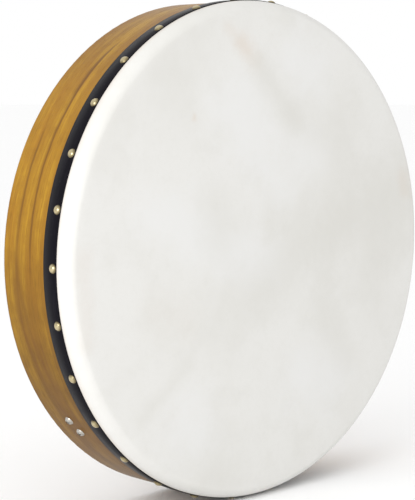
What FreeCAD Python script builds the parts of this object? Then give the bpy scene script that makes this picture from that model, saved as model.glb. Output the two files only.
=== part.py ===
import FreeCAD, Part
import math
import os

# Frame drum: a bent-wood hoop with a tacked skin head, a trim tape and one hand bar.
#
# Frame: the drum stands upright on its hoop. The hoop's axis is Y, the skin faces -Y and
# +Z is up. The origin is the centre of the drum, on the hoop's axis at mid depth.
# Lengths are in millimetres. Angles are in degrees, in the XZ plane, from +X towards +Z.

# hoop
HOOP_DIA = 457.2            # outside of the wood, the 18 inch size
DRUM_DEPTH = 88.9           # over the skin, the 3 1/2 inch size
HOOP_THICK = 11.0
CREST_ROUND = 1.5           # inner edge of the rim that carries the skin
REAR_ROUND = 2.0            # both edges of the open rim

# skin head
SKIN_THICK = 0.8
SHOULDER_DEPTH = 14.5       # along the axis, on the outside of the skin
SHOULDER_DROP = 10.0        # radially, on the outside of the skin
SKIN_LAP = 14.0             # straight side of the skin, behind the shoulder

# trim tape, laid over the skin's cut edge
TAPE_WIDTH = 18.0
TAPE_THICK = 0.8
TAPE_STEP = 1.6             # length over which the tape comes down from skin to wood

# dome-head tacks
TACK_COUNT = 30
TACK_HEAD_DIA = 8.5
TACK_HEAD_RISE = 2.4
TACK_SHANK_DIA = 1.5
TACK_LENGTH = 9.5
TACK_POINT = 2.5
TACK_INSET = 4.3            # from the tape's front edge to the row of tacks
TACK_TURN = -0.4            # the row starts this far from the +X side
TACK_DRIFT = 1.0            # set by hand, the row runs this far ahead and behind even spacing

# hand bar
BAR_ANGLE = 39.6            # direction of the bar's upper end
BAR_WIDTH = 34.0
BAR_THICK = 20.0
BAR_ROUND = 6.0
BAR_REAR_SETBACK = 20.75    # from the open rim to the bar's rear face

# bar screws, two at each end, driven in through the hoop
SCREW_SPACING = 14.4        # round the hoop
SCREW_SKEW = 4.3            # along the axis, between the two screws of an end
SCREW_HEAD_DIA = 8.5
SCREW_HEAD_RISE = 2.8
SCREW_SHANK_DIA = 4.0
SCREW_LENGTH = 40.0
SCREW_POINT = 5.0
RECESS_LENGTH = 4.4         # tip to tip of the cross recess
RECESS_SLOT = 1.1
RECESS_DEPTH = 1.6

# sizes that follow from the ones above
HOOP_RADIUS = HOOP_DIA / 2
INNER_RADIUS = HOOP_RADIUS - HOOP_THICK
SKIN_RADIUS = HOOP_RADIUS + SKIN_THICK
TAPE_RADIUS = SKIN_RADIUS + TAPE_THICK
FRONT_Y = -DRUM_DEPTH / 2
REAR_Y = DRUM_DEPTH / 2
CREST_Y = FRONT_Y + SKIN_THICK
SHOULDER_Y = FRONT_Y + SHOULDER_DEPTH
SKIN_EDGE_Y = SHOULDER_Y + SKIN_LAP
TAPE_REAR_Y = SHOULDER_Y + TAPE_WIDTH
TACK_Y = SHOULDER_Y + TACK_INSET
FLAT_RADIUS = SKIN_RADIUS - SHOULDER_DROP
BAR_Y = REAR_Y - BAR_REAR_SETBACK - BAR_THICK / 2

ORIGIN = FreeCAD.Vector(0, 0, 0)
X_AXIS = FreeCAD.Vector(1, 0, 0)
Y_AXIS = FreeCAD.Vector(0, 1, 0)


def point(radius, along):
    """A point of a section: its distance from the axis and its place along it."""
    return FreeCAD.Vector(radius, along, 0)


def polyline(*points):
    """Straight edges through the points of a section."""
    return [Part.makeLine(a, b) for a, b in zip(points, points[1:])]


def shoulder_arc(drop, depth):
    """Quarter ellipse from the straight side at SHOULDER_Y to the flat at FLAT_RADIUS."""
    centre = point(FLAT_RADIUS, SHOULDER_Y)
    front = point(FLAT_RADIUS, SHOULDER_Y - depth)
    side = point(FLAT_RADIUS + drop, SHOULDER_Y)
    return Part.ArcOfEllipse(Part.Ellipse(front, side, centre), 0, math.pi / 2).toShape()


def corner_arc(centre, radius, start):
    """Quarter circle of a section, turning a quarter from the direction start."""
    circle = Part.Circle(centre, FreeCAD.Vector(0, 0, 1), radius)
    first = math.radians(start)
    return Part.ArcOfCircle(circle, first, first + math.pi / 2).toShape()


def revolved(edges, axis=Y_AXIS):
    """Turn a closed section once round an axis through the origin."""
    wire = Part.Wire(Part.__sortEdges__(edges))
    return Part.Face(wire).revolve(ORIGIN, axis, 360)


def hoop_blank():
    """The bent-wood hoop before any fastener goes in."""
    crest_centre = point(INNER_RADIUS + CREST_ROUND, CREST_Y + CREST_ROUND)
    rear_inner = point(INNER_RADIUS + REAR_ROUND, REAR_Y - REAR_ROUND)
    rear_outer = point(HOOP_RADIUS - REAR_ROUND, REAR_Y - REAR_ROUND)
    edges = [shoulder_arc(SHOULDER_DROP - SKIN_THICK, SHOULDER_DEPTH - SKIN_THICK)]
    edges += polyline(point(FLAT_RADIUS, CREST_Y), point(crest_centre.x, CREST_Y))
    edges += [corner_arc(crest_centre, CREST_ROUND, 180)]
    edges += polyline(point(INNER_RADIUS, crest_centre.y), point(INNER_RADIUS, rear_inner.y))
    edges += [corner_arc(rear_inner, REAR_ROUND, 90)]
    edges += polyline(point(rear_inner.x, REAR_Y), point(rear_outer.x, REAR_Y))
    edges += [corner_arc(rear_outer, REAR_ROUND, 0)]
    edges += polyline(point(HOOP_RADIUS, rear_outer.y), point(HOOP_RADIUS, SHOULDER_Y))
    return revolved(edges)


def skin_blank():
    """The skin: a flat head, a rounded shoulder and a side that ends under the tape."""
    inner_drop = SHOULDER_DROP - SKIN_THICK
    inner_depth = SHOULDER_DEPTH - SKIN_THICK
    edges = [shoulder_arc(SHOULDER_DROP, SHOULDER_DEPTH), shoulder_arc(inner_drop, inner_depth)]
    edges += polyline(
        point(FLAT_RADIUS, FRONT_Y), point(0, FRONT_Y), point(0, CREST_Y), point(FLAT_RADIUS, CREST_Y)
    )
    edges += polyline(
        point(HOOP_RADIUS, SHOULDER_Y), point(HOOP_RADIUS, SKIN_EDGE_Y),
        point(SKIN_RADIUS, SKIN_EDGE_Y), point(SKIN_RADIUS, SHOULDER_Y)
    )
    return revolved(edges)


def tape_blank():
    """The tape: it lies on the skin's side and comes down onto the wood behind its edge."""
    landing_y = SKIN_EDGE_Y + TAPE_STEP
    edges = polyline(
        point(SKIN_RADIUS, SHOULDER_Y), point(SKIN_RADIUS, SKIN_EDGE_Y),
        point(HOOP_RADIUS, landing_y), point(HOOP_RADIUS, TAPE_REAR_Y),
        point(HOOP_RADIUS + TAPE_THICK, TAPE_REAR_Y), point(HOOP_RADIUS + TAPE_THICK, landing_y),
        point(TAPE_RADIUS, SKIN_EDGE_Y), point(TAPE_RADIUS, SHOULDER_Y),
        point(SKIN_RADIUS, SHOULDER_Y)
    )
    return revolved(edges)


def fastener(head_dia, head_rise, shank_dia, length, tip):
    """A domed fastener along X: its head sits on x = 0 and its point is at -length."""
    head_radius = head_dia / 2
    dome_radius = (head_radius ** 2 + head_rise ** 2) / (2 * head_rise)
    half_turn = math.atan2(head_radius, dome_radius - head_rise) / 2
    middle = FreeCAD.Vector(
        head_rise - dome_radius + dome_radius * math.cos(half_turn),
        dome_radius * math.sin(half_turn), 0
    )
    top = FreeCAD.Vector(head_rise, 0, 0)
    rim = FreeCAD.Vector(0, head_radius, 0)
    edges = [Part.Arc(top, middle, rim).toShape()]
    edges += polyline(
        rim, FreeCAD.Vector(0, shank_dia / 2, 0), FreeCAD.Vector(tip - length, shank_dia / 2, 0),
        FreeCAD.Vector(-length, 0, 0), top
    )
    return revolved(edges, X_AXIS)


def cross_recess():
    """The crossed slots in a screw's head."""
    slots = []
    for wide, tall in ((RECESS_LENGTH, RECESS_SLOT), (RECESS_SLOT, RECESS_LENGTH)):
        corner = FreeCAD.Vector(SCREW_HEAD_RISE - RECESS_DEPTH, -wide / 2, -tall / 2)
        slots.append(Part.makeBox(RECESS_DEPTH, wide, tall, corner))
    return slots[0].fuse(slots[1])


def placed(shape, radius, along, angle):
    """A copy of a shape built along X, moved out to radius and turned to its angle."""
    copy = shape.copy()
    copy.translate(FreeCAD.Vector(radius, along, 0))
    copy.rotate(ORIGIN, Y_AXIS, -angle)
    return copy


def make_tacks():
    """The ring of tacks: a little closer together at +X than at -X."""
    tack = fastener(TACK_HEAD_DIA, TACK_HEAD_RISE, TACK_SHANK_DIA, TACK_LENGTH, TACK_POINT)
    tacks = []
    for k in range(TACK_COUNT):
        even = k * 360 / TACK_COUNT
        angle = even + TACK_TURN - TACK_DRIFT * math.sin(math.radians(even))
        tacks.append(placed(tack, TAPE_RADIUS, TACK_Y, angle))
    return tacks


def make_screws():
    """Two screws at each end of the bar, slightly out of line with each other."""
    screw = fastener(SCREW_HEAD_DIA, SCREW_HEAD_RISE, SCREW_SHANK_DIA, SCREW_LENGTH, SCREW_POINT)
    screw = screw.cut(cross_recess())
    half_spread = math.degrees(SCREW_SPACING / HOOP_RADIUS) / 2
    screws = []
    for end_angle in (BAR_ANGLE, BAR_ANGLE + 180):
        for side in (-1, 1):
            along = BAR_Y - side * SCREW_SKEW / 2
            screws.append(placed(screw, HOOP_RADIUS, along, end_angle + side * half_spread))
    return screws


def bar_blank():
    """The hand bar: a flat bar with rounded long edges, its ends coped to the hoop."""
    corner = FreeCAD.Vector(-HOOP_RADIUS, BAR_Y - BAR_THICK / 2, -BAR_WIDTH / 2)
    bar = Part.makeBox(HOOP_DIA, BAR_THICK, BAR_WIDTH, corner)
    long_edges = [e for e in bar.Edges if abs(e.tangentAt(e.FirstParameter).x) > 0.99]
    bar = bar.makeFillet(BAR_ROUND, long_edges)
    inside = Part.makeCylinder(INNER_RADIUS, DRUM_DEPTH, point(0, FRONT_Y), Y_AXIS)
    return placed(bar.common(inside), 0, 0, BAR_ANGLE)


def export(name, shapes):
    """Write a node's solids to one STEP file."""
    solids = [solid for shape in shapes for solid in shape.Solids]
    body = solids[0] if len(solids) == 1 else Part.makeCompound(solids)
    body.exportStep("parts/" + name + ".step")


def main():
    os.makedirs("parts", exist_ok=True)
    tacks = make_tacks()
    screws = make_screws()
    export("bent_wood_hoop", [hoop_blank().cut(tacks + screws)])
    export("skin_head", [skin_blank().cut(tacks)])
    export("trim_tape", [tape_blank().cut(tacks)])
    export("dome_head_tacks", tacks)
    export("hand_bar", [bar_blank().cut(screws)])
    export("bar_screws", screws)


main()
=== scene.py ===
# Frame drum: the looks of its hoop, skin, tape, tacks, hand bar and screws, and a plain studio.
#
# The drum stands upright on its hoop. The hoop's axis is Y, the skin faces -Y, +Z is up and
# the origin is the drum's centre. Lengths are in metres. An angle round the hoop is measured
# in the XZ plane, from +X towards +Z.

import math

import bmesh
import bpy
from mathutils import Matrix, Vector


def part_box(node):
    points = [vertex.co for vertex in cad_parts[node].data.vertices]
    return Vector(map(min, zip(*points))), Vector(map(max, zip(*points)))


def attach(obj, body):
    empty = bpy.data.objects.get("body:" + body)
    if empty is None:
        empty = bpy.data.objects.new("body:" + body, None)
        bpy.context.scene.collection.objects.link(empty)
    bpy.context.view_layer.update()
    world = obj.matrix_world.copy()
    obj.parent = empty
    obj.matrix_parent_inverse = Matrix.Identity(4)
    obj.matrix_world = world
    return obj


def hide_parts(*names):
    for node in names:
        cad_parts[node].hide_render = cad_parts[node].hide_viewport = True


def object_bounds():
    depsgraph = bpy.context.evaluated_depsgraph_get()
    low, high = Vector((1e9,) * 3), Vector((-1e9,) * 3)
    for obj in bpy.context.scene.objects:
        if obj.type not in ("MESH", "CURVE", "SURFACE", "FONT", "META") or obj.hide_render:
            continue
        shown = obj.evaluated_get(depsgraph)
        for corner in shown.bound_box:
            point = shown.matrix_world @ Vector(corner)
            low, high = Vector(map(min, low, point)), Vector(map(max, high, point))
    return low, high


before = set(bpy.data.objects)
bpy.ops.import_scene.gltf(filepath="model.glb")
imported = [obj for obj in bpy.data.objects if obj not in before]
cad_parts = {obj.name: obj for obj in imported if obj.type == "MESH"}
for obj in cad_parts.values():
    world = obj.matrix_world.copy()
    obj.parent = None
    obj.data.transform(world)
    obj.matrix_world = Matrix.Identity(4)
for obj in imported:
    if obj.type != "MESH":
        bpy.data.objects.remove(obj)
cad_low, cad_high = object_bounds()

bl_info = {
    "name": "Frame drum",
    "version": (1, 0, 0),
    "blender": (4, 5, 0),
    "location": "3D View > Sidebar > Frame drum",
    "description": "Builds a bent-wood frame drum with a tacked skin head around its packed frame",
    "category": "Object",
}

ORIGIN = Vector((0, 0, 0))
DRUM_AXIS = Vector((0, 1, 0))
TACK_AXIS = Vector((1, 0, 0))
BODY = "root"

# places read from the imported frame
hoop_low, hoop_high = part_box("bent_wood_hoop")
skin_low, skin_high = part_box("skin_head")
tape_low, tape_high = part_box("trim_tape")
bar_low, bar_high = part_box("hand_bar")
HOOP_RADIUS = hoop_high.x
SKIN_RADIUS = skin_high.x
TAPE_RADIUS = tape_high.x
FRONT_Y = skin_low.y
REAR_Y = hoop_high.y
CREST_Y = hoop_low.y
SKIN_THICK = CREST_Y - FRONT_Y
SKIN_EDGE_Y = skin_high.y
SHOULDER_Y = tape_low.y
TAPE_REAR_Y = tape_high.y
BAR_ANGLE = math.atan2(bar_high.z, bar_high.x)

# how much light each finish mirrors, as the shader's specular level
LACQUER_GLOSS = 0.15
SKIN_GLOSS = 0.3
TAPE_GLOSS = 0.06
PAINT_GLOSS = 0.1

# depth of the fine relief in each surface
GRAIN_HEIGHT = 0.00008
HIDE_HEIGHT = 0.00012
SCUFF_HEIGHT = 0.00003

# steps that make the curved meshes
ROUND_STEPS = 256
TACK_STEPS = 24
SHOULDER_STEPS = 12
HEAD_STEPS = 24
SIDE_STEPS = 4
DOME_STEPS = 7
FLOOR_RADIUS = 30


# ---------------------------------------------------------------- shader maths


class Value:
    """A number that varies over a surface. Python's operators on it add Math nodes."""

    def __init__(self, surface, socket):
        self.surface = surface
        self.socket = socket

    def __add__(self, other):
        return self.surface.math("ADD", self, other)

    __radd__ = __add__

    def __sub__(self, other):
        return self.surface.math("SUBTRACT", self, other)

    def __rsub__(self, other):
        return self.surface.math("SUBTRACT", other, self)

    def __mul__(self, other):
        return self.surface.math("MULTIPLY", self, other)

    __rmul__ = __mul__

    def __truediv__(self, other):
        return self.surface.math("DIVIDE", self, other)

    def __rtruediv__(self, other):
        return self.surface.math("DIVIDE", other, self)

    def __pow__(self, other):
        return self.surface.math("POWER", self, other)


class Surface:
    """A material under construction, and the patterns that its surfaces share."""

    def __init__(self, name):
        self.material = bpy.data.materials.new(name)
        self.material.use_nodes = True
        self.nodes = self.material.node_tree.nodes
        self.links = self.material.node_tree.links
        self.shader = self.nodes["Principled BSDF"]
        coordinates = self.add("ShaderNodeTexCoord", {}, {}, "Object")
        self.place = coordinates
        self.x = self.add("ShaderNodeSeparateXYZ", {}, {0: coordinates}, 0)
        separate = self.x.socket.node
        self.y = Value(self, separate.outputs[1])
        self.z = Value(self, separate.outputs[2])

    def feed(self, socket, value):
        """Set a socket to a number, a colour or a vector, or link a value to it."""
        if isinstance(value, Value):
            self.links.new(value.socket, socket)
        else:
            socket.default_value = value

    def add(self, kind, settings, inputs, output=0):
        """Add a node: its settings first, then what goes into its sockets."""
        node = self.nodes.new(kind)
        for name, setting in settings.items():
            setattr(node, name, setting)
        for socket, value in inputs.items():
            self.feed(node.inputs[socket], value)
        return Value(self, node.outputs[output])

    def math(self, operation, *values):
        """A Math node on one, two or three values."""
        return self.add("ShaderNodeMath", {"operation": operation}, dict(enumerate(values)))

    def clamp(self, value):
        """A value kept from 0 to 1."""
        return self.add("ShaderNodeClamp", {}, {0: value})

    def rise(self, value, start, end):
        """0 below start and 1 above end, with a smooth rise between them."""
        return self.add(
            "ShaderNodeMapRange", {"interpolation_type": "SMOOTHSTEP"}, {0: value, 1: start, 2: end}
        )

    def line(self, value, centre, width):
        """1 where a value is at the centre, falling smoothly to 0 at half the width."""
        return 1 - self.rise(self.math("ABSOLUTE", value - centre), 0, width / 2)

    def vector(self, x, y, z):
        """A vector from three values."""
        return self.add("ShaderNodeCombineXYZ", {}, {0: x, 1: y, 2: z})

    def noise(self, vector, scale, detail=2, roughness=0.5):
        """Soft noise from 0 to 1, around one half."""
        return self.add(
            "ShaderNodeTexNoise", {},
            {"Vector": vector, "Scale": scale, "Detail": detail, "Roughness": roughness}
        )

    def cells(self, vector, scale):
        """The distance to the nearest of many scattered points."""
        return self.add(
            "ShaderNodeTexVoronoi", {"feature": "F1"}, {"Vector": vector, "Scale": scale}, "Distance"
        )

    def mix(self, amount, first, second, blend="MIX"):
        """One colour over another."""
        return self.add(
            "ShaderNodeMix", {"data_type": "RGBA", "blend_type": blend},
            {0: amount, 6: first, 7: second}, 2
        )

    def bump(self, height, distance, strength):
        """Raise the surface by a height from 0 to 1 times a distance in metres."""
        inputs = {"Height": height, "Distance": distance, "Strength": strength}
        return self.add("ShaderNodeBump", {}, inputs)

    def radius(self):
        """The distance from the hoop's axis."""
        return self.math("SQRT", self.x ** 2 + self.z ** 2)

    def angle(self):
        """The angle round the hoop."""
        return self.math("ARCTAN2", self.z, self.x)

    def hold(self, name, value):
        """Give one of the shader's sockets a value that is the same all over."""
        self.shader.inputs[name].default_value = value

    def finish(self, **sockets):
        """Give the shader its values and return the material."""
        for name, value in sockets.items():
            self.feed(self.shader.inputs[name.replace("_", " ")], value)
        return self.material


def colour(red, green, blue):
    """A colour with full alpha, from its linear parts."""
    return (red, green, blue, 1.0)


# ---------------------------------------------------------------- settings


class HoopSettings(bpy.types.PropertyGroup):
    """The bent-wood hoop and the bar across it."""

    thickness: bpy.props.FloatProperty(
        name="Hoop thickness", description="Wall of the bent wood", default=0.011, unit="LENGTH"
    )
    light_wood: bpy.props.FloatVectorProperty(
        name="Light wood", description="Colour of the palest grain", subtype="COLOR",
        default=(0.490, 0.272, 0.019)
    )
    dark_wood: bpy.props.FloatVectorProperty(
        name="Dark wood", description="Colour of the darkest grain", subtype="COLOR",
        default=(0.270, 0.126, 0.010)
    )
    red_wood: bpy.props.FloatVectorProperty(
        name="Red wood", description="Colour of the reddish patches", subtype="COLOR",
        default=(0.295, 0.130, 0.009)
    )
    # painted shade colour, multiplied into the hoop's wood away from its lit middle
    painted_shade_colour: bpy.props.FloatVectorProperty(
        name="Painted shade", description="What darkens the strip towards its ends", subtype="COLOR",
        default=(0.38, 0.335, 0.12)
    )
    streak_wood: bpy.props.FloatVectorProperty(
        name="Streak", description="Colour of the dark growth lines", subtype="COLOR",
        default=(0.13, 0.052, 0.008)
    )
    pore_wood: bpy.props.FloatVectorProperty(
        name="Pores", description="Colour of pores and of the glue line", subtype="COLOR",
        default=(0.06, 0.025, 0.006)
    )
    joint_angle: bpy.props.FloatProperty(
        name="Scarf joint", description="Where the strip's two ends are glued together",
        default=math.radians(-58), subtype="ANGLE"
    )
    joint_length: bpy.props.FloatProperty(
        name="Scarf length", description="Length of the glued taper", default=0.07, unit="LENGTH"
    )


class SkinSettings(bpy.types.PropertyGroup):
    """The skin head."""

    shoulder_drop: bpy.props.FloatProperty(
        name="Shoulder drop", description="Radial size of the rounded shoulder", default=0.010,
        unit="LENGTH"
    )
    pale_skin: bpy.props.FloatVectorProperty(
        name="Pale skin", description="Colour of the skin", subtype="COLOR",
        default=(0.712, 0.705, 0.680)
    )
    grey_skin: bpy.props.FloatVectorProperty(
        name="Grey skin", description="Colour of the clouds and the grey marks", subtype="COLOR",
        default=(0.635, 0.625, 0.588)
    )
    cool_skin: bpy.props.FloatVectorProperty(
        name="Cool skin", description="Colour of the paler, cooler patches", subtype="COLOR",
        default=(0.732, 0.730, 0.720)
    )
    tan_skin: bpy.props.FloatVectorProperty(
        name="Tan skin", description="Colour of the natural tan marks", subtype="COLOR",
        default=(0.60, 0.48, 0.38)
    )


class TrimSettings(bpy.types.PropertyGroup):
    """The tape and the metal fastenings."""

    tape_thickness: bpy.props.FloatProperty(
        name="Tape thickness", description="Thickness of the trim tape", default=0.0008,
        unit="LENGTH"
    )
    tape_colour: bpy.props.FloatVectorProperty(
        name="Tape", description="Colour of the trim tape", subtype="COLOR",
        default=(0.005, 0.0045, 0.007)
    )
    tape_end: bpy.props.FloatProperty(
        name="Tape end", description="Where the tape's end laps over its start",
        default=math.radians(-52), subtype="ANGLE"
    )
    tack_metal: bpy.props.FloatVectorProperty(
        name="Tack metal", description="Colour of the tack heads", subtype="COLOR",
        default=(0.56, 0.48, 0.29)
    )
    screw_metal: bpy.props.FloatVectorProperty(
        name="Screw metal", description="Colour of the screw heads", subtype="COLOR",
        default=(0.50, 0.48, 0.44)
    )
    tack_diameter: bpy.props.FloatProperty(
        name="Tack head", description="Diameter of a tack's head", default=0.0085, unit="LENGTH"
    )
    tack_rise: bpy.props.FloatProperty(
        name="Tack rise", description="Height of a tack's dome", default=0.0024, unit="LENGTH"
    )


class StudioSettings(bpy.types.PropertyGroup):
    """The floor, the lights and the camera."""

    camera_place: bpy.props.FloatVectorProperty(
        name="Camera", description="Where the camera stands", subtype="TRANSLATION",
        default=(-1.0282, -1.0393, 0.1526)
    )
    camera_aim: bpy.props.FloatVectorProperty(
        name="Aim", description="What the camera looks at", subtype="TRANSLATION",
        default=(-0.0142, 0.0138, -0.0015)
    )
    lens: bpy.props.FloatProperty(
        name="Lens", description="Focal length of the camera", default=112.48, subtype="DISTANCE_CAMERA"
    )
    room_light: bpy.props.FloatProperty(
        name="Room light", description="Strength of the even white light", default=1.0
    )
    lamp_place: bpy.props.FloatVectorProperty(
        name="Soft box", description="Where the soft box stands", subtype="TRANSLATION",
        default=(-1.6, -0.5, 0.45)
    )
    lamp_size: bpy.props.FloatProperty(
        name="Soft box size", description="Side of the square soft box", default=0.8, unit="LENGTH"
    )
    lamp_power: bpy.props.FloatProperty(
        name="Soft box power", description="Power of the soft box, in watts", default=12.5
    )
    floor_colour: bpy.props.FloatVectorProperty(
        name="Floor", description="Colour of the plain floor", subtype="COLOR",
        default=(0.975, 0.975, 0.975)
    )


class DrumSettings(bpy.types.PropertyGroup):
    """Everything about the drum that a user would change."""

    hoop: bpy.props.PointerProperty(type=HoopSettings, name="Hoop", description="Wood")
    skin: bpy.props.PointerProperty(type=SkinSettings, name="Skin", description="Skin head")
    trim: bpy.props.PointerProperty(type=TrimSettings, name="Trim", description="Tape and metal")
    studio: bpy.props.PointerProperty(type=StudioSettings, name="Studio", description="Stage")


# ---------------------------------------------------------------- materials


def wood_grain(surface, along, across, depth, settings):
    """Colour, roughness and height of lacquered wood whose grain runs along the first value."""
    vector = surface.vector
    sway = surface.noise(vector(along * 4, across * 8, depth * 8), 1, 2) - 0.5
    bent = across + sway * 0.016
    bands = surface.noise(vector(along * 3, bent * 110, depth * 80), 1, 4, 0.6)
    fibres = surface.noise(vector(along * 16, bent * 800, depth * 700), 1, 4, 0.65)
    pores = surface.noise(vector(along * 90, bent * 2100, depth * 1900), 1, 1)
    patches = surface.noise(vector(along * 12, across * 45, depth * 30), 1, 3, 0.6)
    shimmer = surface.noise(vector(along * 60, across * 90, depth * 90), 1, 3, 0.6)
    light, dark = colour(*settings.light_wood), colour(*settings.dark_wood)
    body = surface.mix(surface.rise(bands, 0.36, 0.66) * 0.75, light, dark)
    body = surface.mix(surface.rise(patches, 0.42, 0.66) * 0.70, body, colour(*settings.red_wood))
    body = surface.mix(surface.rise(shimmer, 0.42, 0.70) * 0.45, body, dark)
    body = surface.mix(surface.rise(fibres, 0.42, 0.70) * 0.60, body, dark)
    pore = surface.rise(pores, 0.60, 0.72)
    body = surface.mix(pore * 0.35, body, colour(*settings.pore_wood))
    height = surface.clamp(0.55 + (fibres - 0.5) * 0.5 - pore * 0.4)
    roughness = surface.clamp(0.38 + (fibres - 0.5) * 0.22 + pore * 0.15)
    return body, roughness, height


def streak(surface, along, across, place, slant, width, first, last):
    """A dark growth line: 1 on the line and 0 off it, fading out beyond its two ends."""
    middle = (first + last) / 2
    line = surface.line(across - (along - middle) * slant, place, width)
    starts = surface.rise(along, first - 0.02, first + 0.02)
    ends = 1 - surface.rise(along, last - 0.03, last + 0.03)
    return line * starts * ends


def length_round(degrees, joint):
    """The length of hoop from its joint to an angle round it."""
    return (math.radians(degrees) - joint) * HOOP_RADIUS


def hoop_wood(settings):
    """Bent wood: its grain runs round the hoop, and its ends meet in a glued scarf joint."""
    surface = Surface("hoop_wood")
    radius = surface.radius()
    angle = surface.angle()
    slope = settings.joint_length / settings.thickness
    girth = math.tau * HOOP_RADIUS
    start = settings.joint_angle * HOOP_RADIUS
    lean = (radius - HOOP_RADIUS) * slope
    along = surface.math("FLOORED_MODULO", angle * HOOP_RADIUS - start + lean, girth)
    body, roughness, height = wood_grain(surface, along, surface.y, radius, settings)
    wander = surface.noise(surface.vector(along * 14, 0.0, 0.0), 1, 3, 0.6) - 0.5
    across = surface.y + wander * 0.004
    # painted shade: the wood darkens away from its lit middle at 156 degrees, strongly towards the
    # lower side and lightly towards the top
    shade_tint = colour(*settings.painted_shade_colour)
    lit_middle = length_round(156, settings.joint_angle)
    past = along - lit_middle + wander * 0.1
    darker = surface.rise(past, 0.02, 0.24) * 0.90 + surface.rise(0 - past, 0.05, 0.17) * 0.32
    body = surface.mix(darker, body, shade_tint, "MULTIPLY")
    # place across, slant, width, angles in degrees where it starts and ends, strength
    for place, slant, width, first, last, amount in (
        (0.0080, -0.006, 0.0046, 124, 180, 0.80), (0.0092, 0.01, 0.0080, 127, 142, 0.65),
        (0.0110, 0.0, 0.0110, 128, 160, 0.25), (0.0243, 0.0, 0.0052, 150, 172, 0.75),
        (0.0262, 0.0, 0.0060, 166, 196, 0.35), (0.0300, -0.02, 0.0140, 180, 192, 0.45),
        (0.0150, -0.16, 0.0100, 178, 216, 0.35), (0.0200, -0.12, 0.0070, 190, 222, 0.35),
        (0.0040, -0.05, 0.0060, 196, 222, 0.45), (0.0370, -0.03, 0.0060, 200, 226, 0.35),
        (0.0020, 0.02, 0.0050, 30, 96, 0.50), (0.0250, -0.03, 0.0070, -20, 60, 0.40),
        (0.0150, 0.02, 0.0060, 240, 290, 0.45),
    ):
        ends = [length_round(degrees, settings.joint_angle) for degrees in (first, last)]
        mark = streak(surface, along, across, place, slant, width, *ends)
        body = surface.mix(mark * amount, body, colour(*settings.streak_wood))
    # darker in a thin band along the rear edge
    rear_edge_band = surface.rise(surface.y, REAR_Y - 0.0025, REAR_Y - 0.0004)
    body = surface.mix(rear_edge_band * 0.45, body, colour(*settings.pore_wood))
    glue = surface.line(along, 0.0, 0.0012) + surface.line(along, girth, 0.0012)
    body = surface.mix(glue * 0.7, body, colour(*settings.pore_wood))
    surface.hold("Specular IOR Level", LACQUER_GLOSS)
    return surface.finish(
        Base_Color=body, Roughness=roughness, Normal=surface.bump(height, GRAIN_HEIGHT, 0.6)
    )


def bar_wood(settings):
    """Straight-grained wood: its grain runs along the bar."""
    surface = Surface("bar_wood")
    cosine, sine = math.cos(BAR_ANGLE), math.sin(BAR_ANGLE)
    along = surface.x * cosine + surface.z * sine
    across = surface.z * cosine - surface.x * sine
    body, roughness, height = wood_grain(surface, along + 3.0, across, surface.y, settings)
    surface.hold("Specular IOR Level", LACQUER_GLOSS)
    return surface.finish(
        Base_Color=body, Roughness=roughness, Normal=surface.bump(height, GRAIN_HEIGHT, 0.6)
    )


def hide_mark(surface, first, last, reach, wander):
    """A soft natural mark between two places on the head, each given as x and z."""
    run = Vector(last) - Vector(first)
    east, north = surface.x - first[0], surface.z - first[1]
    share = (east * run.x + north * run.y) / max(run.length_squared, 1e-8)
    share = surface.clamp(share)
    off_east, off_north = east - share * run.x, north - share * run.y
    away = surface.math("SQRT", off_east * off_east + off_north * off_north)
    return 1 - surface.rise(away + wander * reach, 0, reach)


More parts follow.
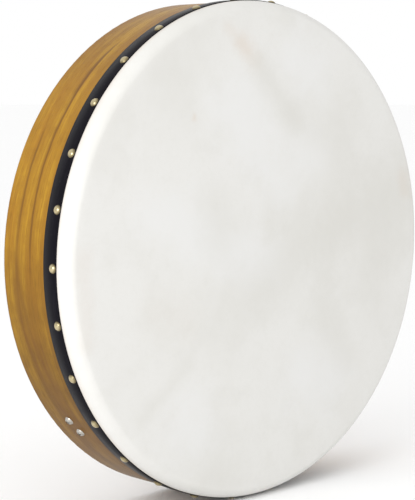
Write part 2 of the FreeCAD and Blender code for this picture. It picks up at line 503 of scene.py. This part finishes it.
def dried_skin(settings):
    """Dried goatskin: cloudy off-white with faint fibres, pores and a few tan and grey marks."""
    surface = Surface("natural_skin")
    place = surface.place
    clouds = surface.noise(place, 8, 4, 0.55)
    blotches = surface.noise(place, 26, 4, 0.6)
    fibres = surface.noise(place, 240, 4, 0.7)
    pores = surface.cells(place, 900)
    pale, grey = colour(*settings.pale_skin), colour(*settings.grey_skin)
    cool, tan = colour(*settings.cool_skin), colour(*settings.tan_skin)
    body = surface.mix(surface.rise(clouds, 0.40, 0.72) * 0.60, pale, grey)
    body = surface.mix(surface.rise(blotches, 0.45, 0.78) * 0.40, body, grey)
    body = surface.mix(surface.rise(fibres, 0.45, 0.80) * 0.22, body, grey)
    wander = (surface.noise(place, 34, 5, 0.7) - 0.5) * 1.6
    # colour, the x and z where it starts and ends, reach, strength
    for tint, first, last, reach, amount in (
        (cool, (-0.030, 0.130), (-0.010, 0.110), 0.060, 0.65),
        (cool, (0.045, 0.180), (0.060, 0.170), 0.050, 0.60),
        (cool, (0.020, 0.060), (0.060, 0.090), 0.050, 0.45),
        (cool, (-0.130, 0.040), (0.000, -0.010), 0.045, 0.60),
        (cool, (-0.100, -0.145), (-0.085, -0.155), 0.050, 0.60),
        (cool, (0.060, -0.125), (0.090, -0.135), 0.055, 0.60),
        (tan, (-0.044, 0.204), (-0.022, 0.184), 0.012, 0.14),
        (tan, (-0.026, 0.190), (-0.010, 0.174), 0.017, 0.22),
        (grey, (-0.006, 0.172), (0.042, 0.122), 0.022, 0.60),
        (grey, (0.042, 0.122), (0.100, 0.098), 0.030, 0.30),
        (grey, (0.200, 0.055), (0.100, 0.010), 0.075, 0.45),
        (grey, (0.120, 0.030), (-0.010, -0.045), 0.040, 0.45),
        (grey, (-0.045, -0.030), (-0.055, -0.055), 0.014, 0.28),
        (grey, (-0.095, -0.095), (-0.150, -0.135), 0.014, 0.38),
        (grey, (0.080, -0.050), (0.120, -0.110), 0.030, 0.45),
        (grey, (-0.060, 0.045), (-0.055, 0.020), 0.035, 0.40),
        (tan, (-0.086, 0.126), (-0.086, 0.124), 0.007, 0.34),
        (tan, (-0.130, -0.040), (-0.100, -0.050), 0.035, 0.05),
        (tan, (-0.212, 0.010), (-0.210, -0.060), 0.016, 0.10),
        (tan, (0.202, 0.060), (0.206, 0.046), 0.015, 0.16),
    ):
        body = surface.mix(hide_mark(surface, first, last, reach, wander) * amount, body, tint)
    handled = surface.rise(surface.y + wander * 0.002, SHOULDER_Y - 0.007, SHOULDER_Y + 0.001)
    body = surface.mix(handled * 0.30, body, tan)
    height = surface.clamp(0.5 + (fibres - 0.5) * 0.5 + (blotches - 0.5) * 0.6 + (pores - 0.4) * 0.35)
    roughness = surface.clamp(0.55 + (clouds - 0.5) * 0.2 + (fibres - 0.5) * 0.15)
    surface.hold("Specular IOR Level", SKIN_GLOSS)
    return surface.finish(
        Base_Color=body, Roughness=roughness, Normal=surface.bump(height, HIDE_HEIGHT, 0.5)
    )


def black_tape(settings):
    """Black satin tape: a faint cross weave under the coating, with small stretch marks."""
    surface = Surface("black_tape")
    angle = surface.angle()
    girth = angle * TAPE_RADIUS
    weave = (
        surface.math("SINE", girth * 7000) * surface.math("SINE", surface.y * 7000)
    ) * 0.5 + 0.5
    marks = surface.noise(surface.vector(surface.x * 60, surface.y * 300, surface.z * 60), 1, 3, 0.6)
    dust = surface.noise(surface.place, 260, 2)
    lap = surface.line(angle, settings.tape_end, 0.0012 / TAPE_RADIUS)
    dark = colour(*settings.tape_colour)
    body = surface.mix(surface.rise(marks, 0.45, 0.75) * 0.5, dark, colour(0.013, 0.011, 0.016))
    body = surface.mix(surface.rise(dust, 0.62, 0.80) * 0.2, body, colour(0.04, 0.037, 0.042))
    body = surface.mix(lap * 0.8, body, colour(0.002, 0.002, 0.002))
    roughness = surface.clamp(0.34 + (marks - 0.5) * 0.25)
    height = surface.clamp(weave * 0.25 + marks * 0.6 - lap * 0.6)
    surface.hold("Specular IOR Level", TAPE_GLOSS)
    return surface.finish(
        Base_Color=body, Roughness=roughness, Normal=surface.bump(height, HIDE_HEIGHT, 0.5)
    )


def worn_metal(surface, bright, tarnish, roughness):
    """Colour, roughness and height of plated metal with soft wear and a thin darker film."""
    film = surface.noise(surface.place, 240, 3, 0.6)
    scuffs = surface.noise(surface.place, 1500, 2, 0.6)
    body = surface.mix(surface.rise(film, 0.45, 0.75) * 0.55, bright, tarnish)
    rough = surface.clamp(roughness + (film - 0.5) * 0.25 + (scuffs - 0.5) * 0.12)
    surface.hold("Metallic", 1.0)
    return body, rough, scuffs


def tack_brass(settings):
    """Pale polished brass, with painted shade darkening the rim of each head."""
    surface = Surface("tack_brass")
    bright, tarnish = colour(*settings.tack_metal), colour(0.30, 0.24, 0.12)
    body, rough, scuffs = worn_metal(surface, bright, tarnish, 0.18)
    radius = surface.radius()
    # painted shade: each head darkens towards its rim, standing in for the dark tape and the blocked
    # light that the rim reflects
    crown = surface.rise(radius - TAPE_RADIUS, 0.0002, settings.tack_rise * 0.85)
    body = surface.mix((1 - crown) * 0.85, body, colour(0.10, 0.075, 0.035))
    rough = surface.clamp(rough + (1 - crown) * 0.25)
    return surface.finish(
        Base_Color=body, Roughness=rough, Normal=surface.bump(scuffs, SCUFF_HEIGHT, 0.4)
    )


def screw_steel(settings):
    """Bright plated steel."""
    surface = Surface("screw_steel")
    bright, tarnish = colour(*settings.screw_metal), colour(0.34, 0.32, 0.29)
    body, rough, scuffs = worn_metal(surface, bright, tarnish, 0.30)
    return surface.finish(
        Base_Color=body, Roughness=rough, Normal=surface.bump(scuffs, SCUFF_HEIGHT, 0.4)
    )


def floor_paint(settings):
    """The studio floor's even pale paint."""
    surface = Surface("floor_paint")
    tone = surface.noise(surface.place, 1.5, 2)
    pale = colour(*settings.floor_colour)
    body = surface.mix(tone * 0.04, pale, colour(0.96, 0.96, 0.96))
    surface.hold("Specular IOR Level", PAINT_GLOSS)
    return surface.finish(Base_Color=body, Roughness=0.9)


# ---------------------------------------------------------------- mesh making


def turn(mesh, section, axis, steps):
    """Spin a chain of points once round an axis through the origin and close its poles."""
    verts = [mesh.verts.new(place) for place in section]
    edges = [mesh.edges.new(pair) for pair in zip(verts, verts[1:])]
    known = set(mesh.verts) - set(verts)
    bmesh.ops.spin(
        mesh, geom=verts + edges, cent=ORIGIN, axis=axis, angle=math.tau, steps=steps, use_merge=True
    )
    made = [v for v in mesh.verts if v not in known]
    bmesh.ops.remove_doubles(mesh, verts=made, dist=1e-6)
    return [v for v in mesh.verts if v not in known]


def section_point(radius, along):
    """A point of a section round the drum's axis."""
    return Vector((radius, along, 0))


def quarter(centre, across, along, steps):
    """Points on a quarter ellipse, from across the axis to along it. The signs say which quarter."""
    turns = [math.pi / 2 * k / steps for k in range(steps + 1)]
    return [centre + Vector((across * math.cos(t), along * math.sin(t), 0)) for t in turns]


def straight(first, last, steps):
    """Points along a straight stretch, without its ends."""
    return [first.lerp(last, k / steps) for k in range(1, steps)]


def make_piece(name, mesh, material, replaced, sharp=35):
    """Turn a bmesh into an object that rides on the drum and stands for its CAD nodes."""
    bmesh.ops.recalc_face_normals(mesh, faces=mesh.faces)
    for face in mesh.faces:
        face.smooth = True
    for edge in mesh.edges:
        edge.smooth = edge.calc_face_angle(0) < math.radians(sharp)
    data = bpy.data.meshes.new(name)
    mesh.to_mesh(data)
    mesh.free()
    data.materials.append(material)
    piece = bpy.data.objects.new(name, data)
    bpy.context.scene.collection.objects.link(piece)
    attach(piece, BODY)
    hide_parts(replaced)
    return piece


def paint_node(node, material):
    """Give a CAD node that keeps its own shape a finished material."""
    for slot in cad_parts[node].material_slots:
        slot.material = material


def fastener_places(node):
    """The angle round the hoop and the place along it of each fastener in a CAD node."""
    mesh = bmesh.new()
    mesh.from_mesh(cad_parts[node].data)
    bmesh.ops.remove_doubles(mesh, verts=mesh.verts, dist=1e-6)
    waiting = set(mesh.verts)
    places = []
    while waiting:
        group = [waiting.pop()]
        for vert in group:
            near = {edge.other_vert(vert) for edge in vert.link_edges} & waiting
            waiting -= near
            group.extend(near)
        middle = sum((vert.co for vert in group), Vector()) / len(group)
        places.append((math.atan2(middle.z, middle.x), middle.y))
    mesh.free()
    return sorted(places)


# ---------------------------------------------------------------- operators


class DRUM_OT_hoop(bpy.types.Operator):
    """Finish the bent-wood hoop"""

    bl_idname = "drum.hoop"
    bl_label = "Bent-wood hoop"

    def execute(self, context):
        paint_node("bent_wood_hoop", hoop_wood(context.scene.frame_drum.hoop))
        return {"FINISHED"}


class DRUM_OT_bar(bpy.types.Operator):
    """Finish the hand bar"""

    bl_idname = "drum.bar"
    bl_label = "Hand bar"

    def execute(self, context):
        paint_node("hand_bar", bar_wood(context.scene.frame_drum.hoop))
        return {"FINISHED"}


class DRUM_OT_skin(bpy.types.Operator):
    """Stretch the skin over the hoop"""

    bl_idname = "drum.skin"
    bl_label = "Skin head"

    def execute(self, context):
        settings = context.scene.frame_drum.skin
        drop = settings.shoulder_drop
        depth = SHOULDER_Y - FRONT_Y
        flat = SKIN_RADIUS - drop
        bend = section_point(flat, SHOULDER_Y)
        outer = quarter(bend, drop, -depth, SHOULDER_STEPS)
        inner = quarter(bend, drop - SKIN_THICK, SKIN_THICK - depth, SHOULDER_STEPS)
        front, back = section_point(0, FRONT_Y), section_point(0, CREST_Y)
        edge_out = section_point(SKIN_RADIUS, SKIN_EDGE_Y)
        edge_in = section_point(HOOP_RADIUS, SKIN_EDGE_Y)
        section = [front] + straight(front, outer[-1], HEAD_STEPS) + outer[::-1]
        section += straight(outer[0], edge_out, SIDE_STEPS) + [edge_out, edge_in]
        section += straight(edge_in, inner[0], SIDE_STEPS)
        section += inner + straight(inner[-1], back, HEAD_STEPS) + [back]
        mesh = bmesh.new()
        turn(mesh, section, DRUM_AXIS, ROUND_STEPS)
        skin = make_piece("skin", mesh, dried_skin(settings), "skin_head")
        reach = flat + (chain_length(outer) + SKIN_EDGE_Y - SHOULDER_Y)
        return {"FINISHED"}


def chain_length(points):
    """The length of a chain of points."""
    return sum((b - a).length for a, b in zip(points, points[1:]))


class DRUM_OT_tape(bpy.types.Operator):
    """Lay the trim tape over the skin's edge"""

    bl_idname = "drum.tape"
    bl_label = "Trim tape"

    def execute(self, context):
        settings = context.scene.frame_drum.trim
        thick = settings.tape_thickness
        landing = SKIN_EDGE_Y + 2 * SKIN_THICK
        section = [
            section_point(SKIN_RADIUS, SHOULDER_Y),
            section_point(SKIN_RADIUS + thick * 0.8, SHOULDER_Y),
            section_point(SKIN_RADIUS + thick, SHOULDER_Y + thick * 0.3),
            section_point(SKIN_RADIUS + thick, SKIN_EDGE_Y),
            section_point(HOOP_RADIUS + thick, landing),
            section_point(HOOP_RADIUS + thick, TAPE_REAR_Y - thick * 0.3),
            section_point(HOOP_RADIUS + thick * 0.8, TAPE_REAR_Y),
            section_point(HOOP_RADIUS, TAPE_REAR_Y),
            section_point(HOOP_RADIUS, landing),
            section_point(SKIN_RADIUS, SKIN_EDGE_Y),
            section_point(SKIN_RADIUS, SHOULDER_Y),
        ]
        mesh = bmesh.new()
        turn(mesh, section, DRUM_AXIS, ROUND_STEPS)
        tape = make_piece("tape", mesh, black_tape(settings), "trim_tape")
        return {"FINISHED"}


class DRUM_OT_tacks(bpy.types.Operator):
    """Set the ring of dome-head tacks"""

    bl_idname = "drum.tacks"
    bl_label = "Dome-head tacks"

    def execute(self, context):
        settings = context.scene.frame_drum.trim
        half, rise = settings.tack_diameter / 2, settings.tack_rise
        dome = (half ** 2 + rise ** 2) / (2 * rise)
        rim = math.asin(half / dome)
        turns = [rim * k / DOME_STEPS for k in range(DOME_STEPS + 1)]
        section = [
            Vector((rise - dome + dome * math.cos(t), dome * math.sin(t), 0)) for t in turns
        ]
        sunk = -0.0002
        section += [Vector((sunk, half * 0.97, 0)), Vector((sunk, 0, 0))]
        mesh = bmesh.new()
        for angle, along in fastener_places("dome_head_tacks"):
            head = turn(mesh, section, TACK_AXIS, TACK_STEPS)
            bmesh.ops.translate(mesh, verts=head, vec=Vector((TAPE_RADIUS, along, 0)))
            bmesh.ops.rotate(mesh, verts=head, cent=ORIGIN, matrix=Matrix.Rotation(-angle, 3, "Y"))
        make_piece("tack_heads", mesh, tack_brass(settings), "dome_head_tacks")
        return {"FINISHED"}


class DRUM_OT_screws(bpy.types.Operator):
    """Finish the bar's screws"""

    bl_idname = "drum.screws"
    bl_label = "Bar screws"

    def execute(self, context):
        paint_node("bar_screws", screw_steel(context.scene.frame_drum.trim))
        return {"FINISHED"}


class DRUM_OT_studio(bpy.types.Operator):
    """Set up the floor, the lights and the camera"""

    bl_idname = "drum.studio"
    bl_label = "Studio"

    def execute(self, context):
        settings = context.scene.frame_drum.studio
        self.lay_floor(settings)
        self.set_lights(settings)
        self.place_camera(settings)
        context.scene.view_settings.view_transform = "Standard"
        return {"FINISHED"}

    def lay_floor(self, settings):
        mesh = bmesh.new()
        bmesh.ops.create_circle(mesh, cap_ends=True, radius=FLOOR_RADIUS, segments=96)
        bmesh.ops.translate(mesh, verts=mesh.verts, vec=Vector((0, 0, cad_low.z)))
        data = bpy.data.meshes.new("studio_floor")
        mesh.to_mesh(data)
        mesh.free()
        data.materials.append(floor_paint(settings))
        floor = bpy.data.objects.new("studio_floor", data)
        bpy.context.scene.collection.objects.link(floor)

    def set_lights(self, settings):
        world = bpy.data.worlds.new("studio_room")
        world.use_nodes = True
        background = world.node_tree.nodes["Background"]
        background.inputs["Color"].default_value = colour(1, 1, 1)
        background.inputs["Strength"].default_value = settings.room_light
        bpy.context.scene.world = world
        lamp = bpy.data.lights.new("soft_box", "AREA")
        lamp.size = settings.lamp_size
        lamp.energy = settings.lamp_power
        stand = bpy.data.objects.new("soft_box", lamp)
        place = Vector(settings.lamp_place)
        stand.location = place
        stand.rotation_euler = place.to_track_quat("Z", "Y").to_euler()
        bpy.context.scene.collection.objects.link(stand)

    def place_camera(self, settings):
        data = bpy.data.cameras.new("camera")
        data.lens = settings.lens
        camera = bpy.data.objects.new("camera", data)
        place, aim = Vector(settings.camera_place), Vector(settings.camera_aim)
        camera.location = place
        camera.rotation_euler = (aim - place).to_track_quat("-Z", "Y").to_euler()
        bpy.context.scene.collection.objects.link(camera)
        bpy.context.scene.camera = camera


class DRUM_PT_sidebar(bpy.types.Panel):
    """The drum's settings and makers"""

    bl_idname = "DRUM_PT_sidebar"
    bl_label = "Frame drum"
    bl_space_type = "VIEW_3D"
    bl_region_type = "UI"
    bl_category = "Frame drum"

    def draw(self, context):
        settings = context.scene.frame_drum
        for group in (settings.hoop, settings.skin, settings.trim, settings.studio):
            box = self.layout.box()
            for name in group.__annotations__:
                box.prop(group, name)
        for operator in MAKERS:
            self.layout.operator(operator.bl_idname)


MAKERS = (
    DRUM_OT_studio, DRUM_OT_hoop, DRUM_OT_bar, DRUM_OT_skin, DRUM_OT_tape, DRUM_OT_tacks,
    DRUM_OT_screws,
)
CLASSES = (
    HoopSettings, SkinSettings, TrimSettings, StudioSettings, DrumSettings, *MAKERS, DRUM_PT_sidebar,
)


def register():
    """Add the settings, the operators and the panel."""
    for kind in CLASSES:
        bpy.utils.register_class(kind)
    bpy.types.Scene.frame_drum = bpy.props.PointerProperty(
        type=DrumSettings, name="Frame drum", description="Settings of the frame drum"
    )


def unregister():
    """Take the settings, the operators and the panel away again."""
    del bpy.types.Scene.frame_drum
    for kind in reversed(CLASSES):
        bpy.utils.unregister_class(kind)


def main():
    """Build the drum and its studio."""
    register()
    bpy.ops.drum.studio()
    bpy.ops.drum.hoop()
    bpy.ops.drum.bar()
    bpy.ops.drum.skin()
    bpy.ops.drum.tape()
    bpy.ops.drum.tacks()
    bpy.ops.drum.screws()


if __name__ == "__main__":
    main()
